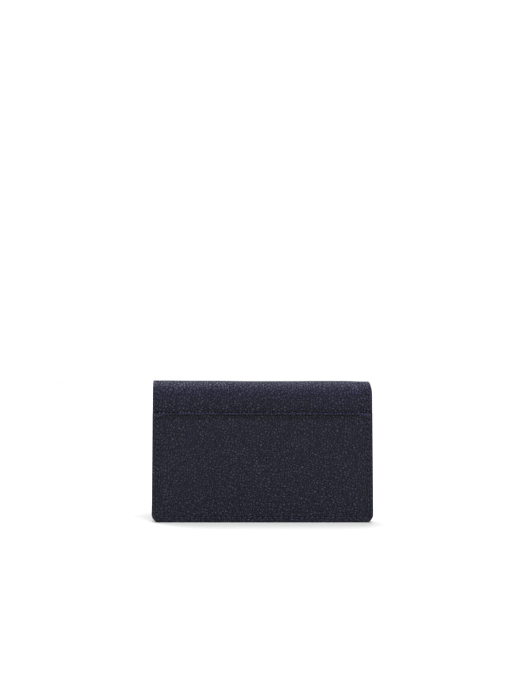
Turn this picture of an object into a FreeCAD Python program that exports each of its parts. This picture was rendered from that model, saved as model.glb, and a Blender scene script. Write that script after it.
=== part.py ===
"""Snap-flap card holder in leather, standing on its bottom edge.

Frame: +Z up, X across the width, Y through the thickness with the slip-pocket side facing -Y.
The origin is the middle of the bounding box at the bottom. Every length is in millimetres.

The outer leather is one skin: it runs up the back, rolls over the top and hangs down the front as
the flap. It bends open along four lines, so here it is cut there into strips, one per rigid stretch.
"""
import FreeCAD, Part
import math
import os

from FreeCAD import Vector

# Outline of the holder, seen from the front or back
BOTTOM_WIDTH = 108.4
TOP_WIDTH = 107.4
HEIGHT = 69.0
CORNER_RADIUS = 4.0
SEAM_INSET = 2.4

# Heights of the edges inside that outline
SLIP_POCKET_TOP = 53.5
FRONT_TOP = 48.0
GUSSET_TOP = 47.0
CARD_SLOT_TOP = 42.0
FLAP_BOTTOM = 8.0

# Thicknesses
LEATHER = 1.1
LINING = 0.6
GUSSET = 0.7
GLUE_LINE = 0.05
THREAD_WIDTH = 0.45
THREAD_PROUD = 0.15

# Main compartment
GUSSET_WIDTH = 5.6
GUSSET_INSET = 0.7
GUSSET_FLANGE = 5.6
CARD_SLOT_INSET = GUSSET_INSET + GUSSET_FLANGE + 0.4
POCKET_RELIEF = 0.3
POCKET_SEAM_ALLOWANCE = 4.6

# Fold that lets the flap open
BEND_LINES = 4
BEND_CLEARANCE = 0.1
FOLD_ARC = 180.0

# Snap fastener, centred across the width
SNAP_HEIGHT = 19.0
SNAP_GAP = 1.95
CAP_RADIUS = 6.2
CAP_PROUD = 1.0
CAP_RIM = 0.25
POST_RADIUS = 1.4
SOCKET_RADIUS = 5.6
SOCKET_BORE = 2.75
SOCKET_DEPTH = 1.35
SOCKET_WALL = 0.7
SOCKET_SKIN = 0.3
STUD_FLANGE_RADIUS = 4.2
STUD_HEAD_RADIUS = 2.35
STUD_NECK_RADIUS = 1.9
STUD_SHANK_RADIUS = 1.2
SPRING_RING_RADIUS = 3.0
SPRING_WIRE_RADIUS = 0.2
SPRING_ARC = 320.0
WASHER_THICKNESS = 0.3
FLAP_WASHER_RADIUS = 7.0
FRONT_WASHER_RADIUS = 6.5
SHANK_HEAD_RADIUS = 4.0
SHANK_HEAD_THICKNESS = 0.35
RUNNING_GAP = 0.05

# Layers through the thickness, stacked from the back (-Y) to the front (+Y)
LAYERS = {
    "back_thread": THREAD_PROUD,
    "slip_pocket": LEATHER,
    "back": LEATHER,
    "back_glue": GLUE_LINE,
    "back_lining": LINING,
    "gusset_glue": GLUE_LINE,
    "gusset": GUSSET_WIDTH,
    "front_glue": GLUE_LINE,
    "front_lining": LINING,
    "front_lining_glue": GLUE_LINE,
    "front": LEATHER,
    "snap_gap": SNAP_GAP,
    "flap_lining": LINING,
    "flap_glue": GLUE_LINE,
    "flap": LEATHER,
    "cap": CAP_PROUD,
}


def stacked_layers():
    """Each layer's (rear, front) place on Y, with the whole stack centred on the origin."""
    rear = -sum(LAYERS.values()) / 2
    places = {}
    for name, thickness in LAYERS.items():
        places[name] = (rear, rear + thickness)
        rear += thickness
    return places


LAYER_Y = stacked_layers()
BACK_FACE = LAYER_Y["back"][0]
FLAP_FACE = LAYER_Y["flap"][1]

# The fold is half a turn from the back's outer face to the flap's
FOLD_RADIUS = (FLAP_FACE - BACK_FACE) / 2
FOLD_Y = (FLAP_FACE + BACK_FACE) / 2
FOLD_Z = HEIGHT - THREAD_PROUD - FOLD_RADIUS
BEND_STEP = FOLD_ARC / BEND_LINES
BEND_GAP = math.degrees(BEND_CLEARANCE / FOLD_RADIUS)


def half_width(z):
    """Half the holder's width at a height: it narrows slightly from the bottom up to the fold."""
    taper = (BOTTOM_WIDTH - TOP_WIDTH) / 2
    return BOTTOM_WIDTH / 2 - taper * min(z, FOLD_Z) / FOLD_Z


def plate(rear, front, bottom, top, inset=0.0, corner=CORNER_RADIUS):
    """A flat panel across the width, its sides inset from the outline, with rounded bottom corners."""
    low = half_width(bottom) - inset
    high = half_width(top) - inset
    outline = Part.makePolygon([
        Vector(-low, rear, bottom),
        Vector(low, rear, bottom),
        Vector(high, rear, top),
        Vector(-high, rear, top),
        Vector(-low, rear, bottom),
    ])
    solid = Part.Face(outline).extrude(Vector(0, front - rear, 0))
    corners = [
        edge for edge in solid.Edges
        if all(abs(v.Z - bottom) < 1e-6 for v in edge.Vertexes)
        and abs(edge.Vertexes[0].X - edge.Vertexes[1].X) < 1e-6
    ]
    return solid.makeFillet(corner, corners)


def u_band(rear, front, bottom, top, outer_inset, inner_inset, corner=CORNER_RADIUS):
    """A band along both sides and the bottom of a panel, between two insets from its outline."""
    outer = plate(rear, front, bottom + outer_inset, top, outer_inset, corner - outer_inset)
    inner_corner = max(corner - inner_inset, 0.4)
    inner = plate(rear, front, bottom + inner_inset, top + 1, inner_inset, inner_corner)
    return outer.cut(inner)


def seam(rear, front, bottom, top, corner=CORNER_RADIUS):
    """The thread that shows along a panel's two sides and bottom."""
    half_thread = THREAD_WIDTH / 2
    return u_band(rear, front, bottom, top, SEAM_INSET - half_thread, SEAM_INSET + half_thread, corner)


def fold_point(radius, angle):
    """A point on the fold's section: angle 0 is the back, 90 the top and 180 the front."""
    turn = math.radians(angle)
    return Vector(0, FOLD_Y - radius * math.cos(turn), FOLD_Z + radius * math.sin(turn))


def fold_strip(inner, outer, start, end, left=None, right=None):
    """Part of the rolled-over leather, between two radii and two angles."""
    left = -half_width(FOLD_Z) if left is None else left
    right = half_width(FOLD_Z) if right is None else right
    middle = (start + end) / 2
    outside = Part.Arc(fold_point(outer, start), fold_point(outer, middle), fold_point(outer, end))
    inside = Part.Arc(fold_point(inner, end), fold_point(inner, middle), fold_point(inner, start))
    section = Part.Wire([
        outside.toShape(),
        Part.makeLine(fold_point(outer, end), fold_point(inner, end)),
        inside.toShape(),
        Part.makeLine(fold_point(inner, start), fold_point(outer, start)),
    ])
    section.translate(Vector(left, 0, 0))
    return Part.Face(section).extrude(Vector(right - left, 0, 0))


def fold_threads(start, end):
    """The two side seams where they pass over the fold."""
    threads = []
    for side in (-1, 1):
        middle = side * (half_width(FOLD_Z) - SEAM_INSET)
        left = middle - THREAD_WIDTH / 2
        right = middle + THREAD_WIDTH / 2
        outer = FOLD_RADIUS + THREAD_PROUD
        threads.append(fold_strip(FOLD_RADIUS, outer, start, end, left, right))
    return threads


def upright_threads(rear, front, bottom, top):
    """The two side seams where they run straight up a panel."""
    return u_band(
        rear, front, bottom - CORNER_RADIUS * 2, top,
        SEAM_INSET - THREAD_WIDTH / 2, SEAM_INSET + THREAD_WIDTH / 2,
    ).common(Part.makeBox(
        BOTTOM_WIDTH, front - rear, top - bottom, Vector(-BOTTOM_WIDTH / 2, rear, bottom),
    )).Solids


def joined(*shapes):
    """One solid from shapes that touch."""
    return shapes[0].multiFuse(list(shapes[1:])).removeSplitter()


def turned(profile):
    """A solid turned about the snap's axis, from (radius, y) points listed round its half-section."""
    points = [Vector(radius, y, SNAP_HEIGHT) for radius, y in profile]
    section = Part.Face(Part.makePolygon(points + points[:1]))
    return section.revolve(Vector(0, 0, SNAP_HEIGHT), Vector(0, 1, 0), 360)


def disc(radius, rear, front):
    """A disc on the snap's axis."""
    return Part.makeCylinder(radius, front - rear, Vector(0, rear, SNAP_HEIGHT), Vector(0, 1, 0))


def ring(outer, inner, rear, front):
    """A flat ring on the snap's axis."""
    return disc(outer, rear, front).cut(disc(inner, rear, front))


def card_relief(rear, bottom, top, inset):
    """The shallow space behind a pocket panel, open at its mouth and closed along its seams."""
    corner = max(CORNER_RADIUS - POCKET_SEAM_ALLOWANCE, 1.0)
    return plate(
        rear - POCKET_RELIEF, rear, bottom + POCKET_SEAM_ALLOWANCE, top + 1,
        inset + POCKET_SEAM_ALLOWANCE, corner,
    )


# ---------------------------------------------------------------- back of the holder

def slip_pocket_panel():
    rear, front = LAYER_Y["slip_pocket"]
    panel = plate(rear, front, 0, SLIP_POCKET_TOP)
    return panel.cut(card_relief(front, 0, SLIP_POCKET_TOP, 0))


def back_panel():
    """The back, up to the first line on which the leather bends."""
    rear, front = LAYER_Y["back"]
    flat = plate(rear, front, 0, FOLD_Z)
    rolled = fold_strip(FOLD_RADIUS - LEATHER, FOLD_RADIUS, 0, BEND_STEP / 2 - BEND_GAP)
    return joined(flat, rolled)


def back_lining():
    rear, front = LAYER_Y["back_lining"]
    flat = plate(rear, front, 0, FOLD_Z)
    outer = FOLD_RADIUS - LEATHER - GLUE_LINE
    rolled = fold_strip(outer - LINING, outer, 0, BEND_STEP / 2 - BEND_GAP)
    return joined(flat, rolled)


def back_seam_thread():
    """Thread round the slip pocket, then up the bare back to the fold."""
    around = seam(*LAYER_Y["back_thread"], 0, SLIP_POCKET_TOP)
    above = upright_threads(BACK_FACE - THREAD_PROUD, BACK_FACE, SLIP_POCKET_TOP, FOLD_Z)
    over = fold_threads(0, BEND_STEP / 2 - 2 * BEND_GAP)
    runs = [joined(straight, bent) for straight in above for bent in over
            if straight.CenterOfMass.x * bent.CenterOfMass.x > 0]
    return Part.makeCompound([around] + runs)


# ---------------------------------------------------------------- main compartment

def card_slot_panel():
    """The inner slot, sewn to the back lining between the gusset's flanges."""
    rear = LAYER_Y["back_lining"][1] + GLUE_LINE
    front = rear + GUSSET
    bottom = CARD_SLOT_INSET
    panel = plate(rear, front, bottom, CARD_SLOT_TOP, CARD_SLOT_INSET, 1.5)
    relief = plate(
        rear, rear + POCKET_RELIEF, bottom + SEAM_INSET, CARD_SLOT_TOP + 1,
        CARD_SLOT_INSET + SEAM_INSET, 1.0,
    )
    return panel.cut(relief)


def card_slot_thread():
    rear = LAYER_Y["back_lining"][1] + GLUE_LINE + GUSSET
    inset = SEAM_INSET / 2
    outer_inset = CARD_SLOT_INSET + inset - THREAD_WIDTH / 2
    inner_inset = outer_inset + THREAD_WIDTH
    outer = plate(rear, rear + THREAD_PROUD, outer_inset, CARD_SLOT_TOP, outer_inset, 1.0)
    inner = plate(rear, rear + THREAD_PROUD, inner_inset, CARD_SLOT_TOP + 1, inner_inset, 0.6)
    return outer.cut(inner)


def gusset_strip():
    """One strip down a side, across the bottom and up the other side, with a flange on each edge."""
    rear, front = LAYER_Y["gusset"]
    web = u_band(rear, front, 0, GUSSET_TOP, GUSSET_INSET, GUSSET_INSET + GUSSET)
    flange_inset = GUSSET_INSET + GUSSET_FLANGE
    back_flange = u_band(rear, rear + GUSSET, 0, GUSSET_TOP, GUSSET_INSET, flange_inset)
    front_flange = u_band(front - GUSSET, front, 0, GUSSET_TOP, GUSSET_INSET, flange_inset)
    return joined(web, back_flange, front_flange)


def front_lining():
    rear, front = LAYER_Y["front_lining"]
    return plate(rear, front, 0, FRONT_TOP)


def front_panel():
    """The front, drilled for the stud and counterbored inside for its washer and rivet head."""
    rear, front = LAYER_Y["front"]
    panel = plate(rear, front, 0, FRONT_TOP)
    recess = WASHER_THICKNESS + SHANK_HEAD_THICKNESS + RUNNING_GAP
    panel = panel.cut(disc(FRONT_WASHER_RADIUS + RUNNING_GAP, rear, rear + recess))
    return panel.cut(disc(STUD_SHANK_RADIUS + RUNNING_GAP, rear, front))


def front_seam_thread():
    front = LAYER_Y["front"][1]
    return seam(front, front + THREAD_PROUD, 0, FRONT_TOP)


# ---------------------------------------------------------------- flap

def flap_panel():
    """The front of the flap, from the last bend line down to its rounded lower corners."""
    rear, front = LAYER_Y["flap"]
    flat = plate(rear, front, FLAP_BOTTOM, FOLD_Z)
    rolled = fold_strip(
        FOLD_RADIUS - LEATHER, FOLD_RADIUS, FOLD_ARC - BEND_STEP / 2 + BEND_GAP, FOLD_ARC,
    )
    panel = joined(flat, rolled)
    panel = panel.cut(disc(FLAP_WASHER_RADIUS + RUNNING_GAP, rear, rear + WASHER_THICKNESS + RUNNING_GAP))
    return panel.cut(disc(POST_RADIUS + RUNNING_GAP, rear, front))


def flap_lining():
    rear, front = LAYER_Y["flap_lining"]
    flat = plate(rear, front, FLAP_BOTTOM, FOLD_Z)
    outer = FOLD_RADIUS - LEATHER - GLUE_LINE
    rolled = fold_strip(outer - LINING, outer, FOLD_ARC - BEND_STEP / 2 + BEND_GAP, FOLD_ARC)
    return joined(flat, rolled).cut(disc(POST_RADIUS + RUNNING_GAP, rear, front))


def flap_seam_thread():
    around = seam(FLAP_FACE, FLAP_FACE + THREAD_PROUD, FLAP_BOTTOM, FOLD_Z)
    over = fold_threads(FOLD_ARC - BEND_STEP / 2 + 2 * BEND_GAP, FOLD_ARC)
    return joined(around, *over)


# ---------------------------------------------------------------- fold between back and flap

def bend_strips():
    """The leather, lining and thread of each stretch of the fold between two bend lines."""
    pieces = {}
    lining_outer = FOLD_RADIUS - LEATHER - GLUE_LINE
    for number in range(1, BEND_LINES):
        start = (number - 0.5) * BEND_STEP + BEND_GAP
        end = (number + 0.5) * BEND_STEP - BEND_GAP
        pieces[f"fold_leather_{number}"] = fold_strip(FOLD_RADIUS - LEATHER, FOLD_RADIUS, start, end)
        pieces[f"fold_lining_{number}"] = fold_strip(lining_outer - LINING, lining_outer, start, end)
        threads = fold_threads(start + BEND_GAP, end - BEND_GAP)
        pieces[f"fold_seam_thread_{number}"] = Part.makeCompound(threads)
    return pieces


# ---------------------------------------------------------------- snap fastener

def snap_cap():
    """Domed cap on the flap's face, with the post that rivets the socket on behind it."""
    outer_face = LAYER_Y["flap"][1]
    post_end = LAYER_Y["flap_lining"][0] - SOCKET_SKIN
    rim = outer_face + CAP_RIM
    crown = outer_face + CAP_PROUD
    rise = crown - rim
    sphere_radius = (CAP_RADIUS ** 2 + rise ** 2) / (2 * rise)
    half_way = CAP_RADIUS / 2
    half_rise = math.sqrt(sphere_radius ** 2 - half_way ** 2) - (sphere_radius - rise)
    z = SNAP_HEIGHT
    dome = Part.Arc(Vector(CAP_RADIUS, rim, z), Vector(half_way, rim + half_rise, z), Vector(0, crown, z))
    body = Part.makePolygon([
        Vector(0, crown, z),
        Vector(0, post_end, z),
        Vector(POST_RADIUS, post_end, z),
        Vector(POST_RADIUS, outer_face, z),
        Vector(CAP_RADIUS, outer_face, z),
        Vector(CAP_RADIUS, rim, z),
    ])
    section = Part.Face(Part.Wire(body.Edges + [dome.toShape()]))
    return section.revolve(Vector(0, 0, z), Vector(0, 1, 0), 360)


def snap_socket():
    """Shallow cup on the flap's lining: a floor, a wall and a face with the hole that takes the stud."""
    floor = LAYER_Y["flap_lining"][0]
    mouth = floor - SOCKET_DEPTH
    inner = SOCKET_RADIUS - SOCKET_WALL
    cup = ring(SOCKET_RADIUS, POST_RADIUS + RUNNING_GAP, mouth, floor)
    cavity = disc(inner, mouth + SOCKET_SKIN, floor - SOCKET_SKIN)
    return cup.cut(cavity).cut(disc(SOCKET_BORE, mouth, floor - SOCKET_SKIN))


def snap_spring():
    """Split wire ring inside the socket, which closes on the stud's neck."""
    middle = LAYER_Y["flap_lining"][0] - SOCKET_DEPTH / 2
    return Part.makeTorus(
        SPRING_RING_RADIUS, SPRING_WIRE_RADIUS, Vector(0, middle, SNAP_HEIGHT), Vector(0, 1, 0),
        0, 360, SPRING_ARC,
    )


def snap_stud():
    """Stud on the front panel: flange, neck and rounded head, bored for the rivet shank."""
    base = LAYER_Y["front"][1]
    flange = base + SOCKET_SKIN
    neck = base + SNAP_GAP / 2
    head_top = LAYER_Y["flap_lining"][0] - SOCKET_SKIN - 0.2
    chamfer = 0.15
    stud = turned([
        (0, base),
        (STUD_FLANGE_RADIUS, base),
        (STUD_FLANGE_RADIUS, flange),
        (STUD_NECK_RADIUS, flange),
        (STUD_NECK_RADIUS, neck - chamfer),
        (STUD_HEAD_RADIUS, neck),
        (STUD_HEAD_RADIUS, head_top - 2 * chamfer),
        (STUD_HEAD_RADIUS - 2 * chamfer, head_top),
        (0, head_top),
    ])
    return stud.cut(disc(STUD_SHANK_RADIUS + RUNNING_GAP, base, head_top - SOCKET_SKIN))


def snap_shank():
    """Flat-headed rivet from inside the front panel that the stud is set on."""
    seat = LAYER_Y["front"][0]
    head_top = seat + SHANK_HEAD_THICKNESS
    shank_end = LAYER_Y["flap_lining"][0] - 2 * SOCKET_SKIN - 0.25
    return joined(disc(SHANK_HEAD_RADIUS, seat, head_top), disc(STUD_SHANK_RADIUS, head_top, shank_end))


def front_snap_washer():
    seat = LAYER_Y["front"][0] + SHANK_HEAD_THICKNESS
    return ring(FRONT_WASHER_RADIUS, STUD_SHANK_RADIUS + RUNNING_GAP, seat, seat + WASHER_THICKNESS)


def flap_snap_washer():
    seat = LAYER_Y["flap"][0]
    return ring(FLAP_WASHER_RADIUS, POST_RADIUS + RUNNING_GAP, seat, seat + WASHER_THICKNESS)


PIECES = {
    "slip_pocket_panel": slip_pocket_panel(),
    "back_panel": back_panel(),
    "back_lining": back_lining(),
    "back_seam_thread": back_seam_thread(),
    "card_slot_panel": card_slot_panel(),
    "card_slot_thread": card_slot_thread(),
    "gusset_strip": gusset_strip(),
    "front_lining": front_lining(),
    "front_panel": front_panel(),
    "front_seam_thread": front_seam_thread(),
    "flap_panel": flap_panel(),
    "flap_lining": flap_lining(),
    "flap_seam_thread": flap_seam_thread(),
    "snap_cap": snap_cap(),
    "snap_socket": snap_socket(),
    "snap_spring": snap_spring(),
    "snap_stud": snap_stud(),
    "snap_shank": snap_shank(),
    "front_snap_washer": front_snap_washer(),
    "flap_snap_washer": flap_snap_washer(),
}
PIECES.update(bend_strips())

os.makedirs("parts", exist_ok=True)
for node, shape in PIECES.items():
    shape.exportStep(f"parts/{node}.step")
    box = shape.BoundBox
    print(
        f"{node}: {len(shape.Solids)} solid(s), valid {shape.isValid()}, {shape.Volume:.1f} mm3, "
        f"x {box.XMin:.2f}..{box.XMax:.2f}, y {box.YMin:.2f}..{box.YMax:.2f}, z {box.ZMin:.2f}..{box.ZMax:.2f}"
    )

# The lines the fold bends on lie in the outer face, where the leather keeps its length
for number in range(BEND_LINES):
    line = fold_point(FOLD_RADIUS, (number + 0.5) * BEND_STEP)
    print(f"bend line {number + 1}: y {line.y:.4f}, z {line.z:.4f}")
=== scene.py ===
"""The looks of a snap-flap leather card holder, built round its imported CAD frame.

Leather is laid out on a skin: x runs across the holder, s runs along the leather, and n stands off its
outer face. The outer skin goes up the back, rolls over the fold and comes down the front as the flap,
so grain, seams and edges carry on unbroken from piece to piece.
"""
import math

import bmesh
import bpy
import numpy as np
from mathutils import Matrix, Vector


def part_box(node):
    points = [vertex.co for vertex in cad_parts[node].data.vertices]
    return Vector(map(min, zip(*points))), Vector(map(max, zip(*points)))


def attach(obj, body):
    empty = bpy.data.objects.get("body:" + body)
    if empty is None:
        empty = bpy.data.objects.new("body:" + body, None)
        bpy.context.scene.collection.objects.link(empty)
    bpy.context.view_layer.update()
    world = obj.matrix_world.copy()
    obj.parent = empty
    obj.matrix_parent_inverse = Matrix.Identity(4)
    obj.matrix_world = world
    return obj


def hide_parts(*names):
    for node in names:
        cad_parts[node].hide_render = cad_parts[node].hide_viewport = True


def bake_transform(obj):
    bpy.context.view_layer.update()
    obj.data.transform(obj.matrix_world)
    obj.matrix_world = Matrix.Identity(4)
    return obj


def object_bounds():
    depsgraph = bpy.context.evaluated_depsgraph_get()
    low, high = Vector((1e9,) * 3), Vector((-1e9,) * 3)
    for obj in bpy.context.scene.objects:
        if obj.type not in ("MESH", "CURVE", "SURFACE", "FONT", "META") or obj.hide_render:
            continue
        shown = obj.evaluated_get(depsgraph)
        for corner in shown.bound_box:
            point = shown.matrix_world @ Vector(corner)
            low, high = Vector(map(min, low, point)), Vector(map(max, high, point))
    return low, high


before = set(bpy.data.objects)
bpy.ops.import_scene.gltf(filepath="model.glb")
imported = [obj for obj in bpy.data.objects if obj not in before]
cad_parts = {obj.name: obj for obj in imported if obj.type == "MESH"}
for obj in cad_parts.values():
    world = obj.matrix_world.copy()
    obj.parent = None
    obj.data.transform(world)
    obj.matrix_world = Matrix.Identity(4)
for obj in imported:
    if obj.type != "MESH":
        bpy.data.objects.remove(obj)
cad_low, cad_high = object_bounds()

MM = 0.001

# ---------------------------------------------------------------- sizes read from the frame


def low(node):
    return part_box(node)[0]


def high(node):
    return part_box(node)[1]


BACK_FACE = low("back_panel").y
FLAP_FACE = high("flap_panel").y
FOLD_RADIUS = (FLAP_FACE - BACK_FACE) / 2
FOLD_Y = (FLAP_FACE + BACK_FACE) / 2
FOLD_Z = high("fold_leather_2").z - FOLD_RADIUS
FOLD_LENGTH = math.pi * FOLD_RADIUS
TOP_HALF = high("fold_leather_2").x
CORNER = 4.0 * MM
BASE_HALF = TOP_HALF + 0.5 * MM
POCKET_TOP = high("slip_pocket_panel").z
FRONT_TOP = high("front_panel").z
FLAP_BOTTOM = low("flap_panel").z
SLOT_TOP = high("card_slot_panel").z
GUSSET_TOP = high("gusset_strip").z
LEATHER = high("slip_pocket_panel").y - low("slip_pocket_panel").y
GLUE = 0.05 * MM
LINING = high("front_lining").y - low("front_lining").y
SEAM_INSET = 2.4 * MM
BODIES = ["root", "fold_1", "fold_2", "fold_3", "flap"]
ZONES = len(BODIES) - 1
ZONE_LENGTH = FOLD_LENGTH / ZONES

# Two stitches to each stretch of the fold, so that no stitch lies across a bend's end
STITCHES_PER_ZONE = 2
STITCH_PITCH = ZONE_LENGTH / STITCHES_PER_ZONE

# Softness of the hand-made shape
TOP_DIP = 0.22 * MM
CROWN = 0.34 * MM
FLAP_CORNER_BOW = 0.85 * MM
POCKET_BOW = 0.14 * MM
POCKET_GAP = 0.05 * MM


def half_width(z):
    """Half the holder's width at a height."""
    return BASE_HALF + (TOP_HALF - BASE_HALF) * np.clip(z / FOLD_Z, 0, 1)


def smooth(t):
    t = np.clip(t, 0, 1)
    return t * t * (3 - 2 * t)


# ---------------------------------------------------------------- hand-made unevenness

def make_waves(seed, count, shortest, longest):
    """Long soft waves of a hand-finished surface, as (direction, wavelength, phase) rows."""
    draw = np.random.default_rng(seed)
    angle = draw.uniform(0, 2 * math.pi, count)
    length = draw.uniform(shortest, longest, count)
    phase = draw.uniform(0, 2 * math.pi, count)
    return np.stack([np.cos(angle) / length, np.sin(angle) / length, phase], axis=1)


WAVES = make_waves(seed=11, count=7, shortest=14 * MM, longest=46 * MM)


def waviness(x, s):
    """From about -1 to 1, gently varying over the leather."""
    total = sum(np.sin(2 * math.pi * (kx * x + ks * s) + phase) for kx, ks, phase in WAVES)
    return total / math.sqrt(len(WAVES) * 2)


def fold_pull(x, z):
    """How far the seam draws the leather's edges in where they go over the fold, more on the right."""
    rise = np.clip((z - (FOLD_Z - 0.4 * MM)) / (7.0 * MM), 0, 0.985)
    drawn_in = 1 - np.sqrt(1 - rise ** 2)
    near_edge = smooth((np.abs(x) - 43 * MM) / (11 * MM))
    reach = np.where(x > 0, 2.1 * MM, 0.1 * MM)
    return -np.sign(x) * reach * drawn_in * near_edge


# ---------------------------------------------------------------- skins

class FlatSkin:
    """A flat sheet in the holder: s is its height, and n stands off towards -Y or +Y."""

    def __init__(self, face, facing, bow=None):
        self.face = face
        self.facing = facing
        self.bow = bow

    def place(self, x, s, n):
        stand_off = n + self.bow(x, s) if self.bow else n
        return np.stack([x, self.face + self.facing * stand_off, s], axis=-1)


class WrapSkin:
    """The sheet that goes up the back, over the fold and down the flap.

    s is zero at the back's bottom edge.
    """

    def place(self, x, s, n):
        turn = np.clip((s - FOLD_Z) / FOLD_LENGTH, 0, 1) * math.pi
        up_back = np.minimum(s - FOLD_Z, 0)
        down_flap = np.maximum(s - FOLD_Z - FOLD_LENGTH, 0)
        dip = TOP_DIP * np.sin(turn) * np.cos(math.pi * x / (2 * TOP_HALF)) ** 2
        radius = FOLD_RADIUS + n + flap_bow(x, down_flap) - dip + crown(x) * np.sin(turn)
        y = FOLD_Y - radius * np.cos(turn)
        z = FOLD_Z + radius * np.sin(turn) + up_back - down_flap
        return np.stack([x + fold_pull(x, z), y, z], axis=-1)


def crown(x):
    """The fold stands a little fuller towards the left, and drops off where the right seam draws it down."""
    return CROWN * (1 - 0.35 * (x / TOP_HALF)) - 0.3 * MM * smooth((x - 40 * MM) / (12 * MM))


def flap_bow(x, down):
    """The flap lies closer to the front at its lower corners than round its snap."""
    reach = smooth(down / (FOLD_Z - FLAP_BOTTOM))
    return -FLAP_CORNER_BOW * reach * (x / TOP_HALF) ** 2


def pocket_bow(x, s):
    """The slip pocket stands slightly off the back in the middle of its mouth."""
    across = np.cos(np.clip(x / (TOP_HALF - 3 * MM), -1, 1) * math.pi / 2) ** 2
    return POCKET_BOW * across * smooth((s - 8 * MM) / (POCKET_TOP - 8 * MM))


def wrap_half(s):
    """Half the wrapped sheet's width at a place along it."""
    down_flap = s - FOLD_Z - FOLD_LENGTH
    height = np.where(down_flap > 0, FOLD_Z - down_flap, s)
    return half_width(height)


WRAP = WrapSkin()
FLAP_START = FOLD_Z + FOLD_LENGTH
FLAP_END = FLAP_START + FOLD_Z - FLAP_BOTTOM


# ---------------------------------------------------------------- outlines and seams

class Outline:
    """A panel's edge on its skin, from its free end with rounded corners (start) to its other end.

    along is the distance from the free end; start > end on a sheet that hangs down.
    """

    def __init__(self, start, end, half, corner=CORNER, end_free=False):
        self.start = start
        self.half = half
        self.corner = corner
        self.end_free = end_free
        self.way = 1 if end > start else -1
        self.length = abs(end - start)

    def s_at(self, along):
        return self.start + self.way * along

    def along_at(self, s):
        return (s - self.start) * self.way

    def row_half(self, along):
        """Half the width of the row at a distance from the free end, rounding off the corners."""
        inside = np.clip(self.corner - along, 0, self.corner)
        rounding = self.corner - np.sqrt(self.corner ** 2 - inside ** 2)
        return self.half(self.s_at(along)) - rounding

    def depth(self, x, along):
        """Distance in from the sides and the rounded end."""
        side = np.abs(x) - (self.half(self.s_at(along)) - self.corner)
        below = self.corner - along
        outside = np.hypot(np.maximum(side, 0), np.maximum(below, 0))
        inside = np.minimum(np.maximum(side, below), 0)
        return np.maximum(self.corner - outside - inside, 0)

    def seam(self, inset, top):
        """Points (x, s) along the seam: down one side from top, across the free end and up the other."""
        radius = max(self.corner - inset, 0.3 * MM)
        turn_start = inset + radius
        sides = np.linspace(top, turn_start, 200)
        straight = np.stack([-(self.half(self.s_at(sides)) - inset), sides], axis=1)
        turn = np.linspace(0, math.pi / 2, 24)[1:]
        centre = self.half(self.s_at(turn_start)) - inset - radius
        corner = np.stack([-centre - radius * np.cos(turn), turn_start - radius * np.sin(turn)], axis=1)
        left = np.concatenate([straight, corner])
        path = np.concatenate([left, left[::-1] * [-1, 1]])
        path[:, 1] = self.s_at(path[:, 1])
        return path


def reached_along(path):
    """How far along a path each of its points is."""
    steps = np.linalg.norm(np.diff(path, axis=0), axis=1)
    return np.concatenate([[0], np.cumsum(steps)])


def stitch_places(path):
    """(middles, directions, holes) of the stitches along a path of (x, s) points."""
    reached = reached_along(path)
    count = max(1, round(reached[-1] / STITCH_PITCH))
    places = np.linspace(0, reached[-1], count + 1)
    holes = np.stack([np.interp(places, reached, path[:, k]) for k in range(2)], axis=1)
    middles = (holes[1:] + holes[:-1]) / 2
    directions = holes[1:] - holes[:-1]
    directions /= np.linalg.norm(directions, axis=1, keepdims=True)
    return middles, directions, holes


def side_seams(half, first, last):
    """The seams up both sides between two places along the skin."""
    s = np.linspace(first, last, 40)
    return [np.stack([side * (half(s) - SEAM_INSET), s], axis=1) for side in (-1, 1)]


def holes_of(paths):
    return np.concatenate([stitch_places(path)[2] for path in paths])


# ---------------------------------------------------------------- meshes

def new_object(name, points, faces, materials, face_materials=None, attributes=()):
    """A smooth-shaded closed mesh. attributes are (name, type, values) on its points."""
    mesh = bpy.data.meshes.new(name)
    face_list = faces if isinstance(faces, list) else faces.tolist()
    mesh.from_pydata(points.reshape(-1, 3).tolist(), [], face_list)
    for material in materials:
        mesh.materials.append(material)
    if face_materials is not None:
        mesh.polygons.foreach_set("material_index", face_materials.astype(np.int32))
    for attribute_name, kind, values in attributes:
        attribute = mesh.attributes.new(attribute_name, kind, "POINT")
        field = "vector" if kind == "FLOAT_VECTOR" else "value"
        attribute.data.foreach_set(field, values.astype(np.float32).ravel())
    build = bmesh.new()
    build.from_mesh(mesh)
    bmesh.ops.remove_doubles(build, verts=build.verts, dist=1e-7)
    bmesh.ops.recalc_face_normals(build, faces=build.faces)
    build.to_mesh(mesh)
    build.free()
    mesh.polygons.foreach_set("use_smooth", np.ones(len(mesh.polygons), dtype=bool))
    made = bpy.data.objects.new(name, mesh)
    bpy.context.scene.collection.objects.link(made)
    return made


def grid_faces(index):
    """Faces between neighbouring vertices of a grid of vertex numbers."""
    corners = [index[:-1, :-1], index[:-1, 1:], index[1:, 1:], index[1:, :-1]]
    return np.stack(corners, axis=-1).reshape(-1, 4)


def loft(numbers, closed_loft=False):
    """Faces between successive closed rings of points. numbers has a row of vertex numbers for each ring."""
    index = np.concatenate([numbers, numbers[:, :1]], axis=1)
    if closed_loft:
        index = np.concatenate([index, index[:1]], axis=0)
    return grid_faces(index)


def capped_loft(numbers):
    """The same as lists, with a face across the first ring and one across the last."""
    return loft(numbers).tolist() + [numbers[0].tolist(), numbers[-1].tolist()]


EDGE_POINTS = 5
CLOSEST_LINES = 0.04 * MM


def edge_steps(radius):
    """Distances in from a rounded edge, closer together near it."""
    return radius * (1 - np.cos(np.linspace(0, math.pi / 2, EDGE_POINTS)))


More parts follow.
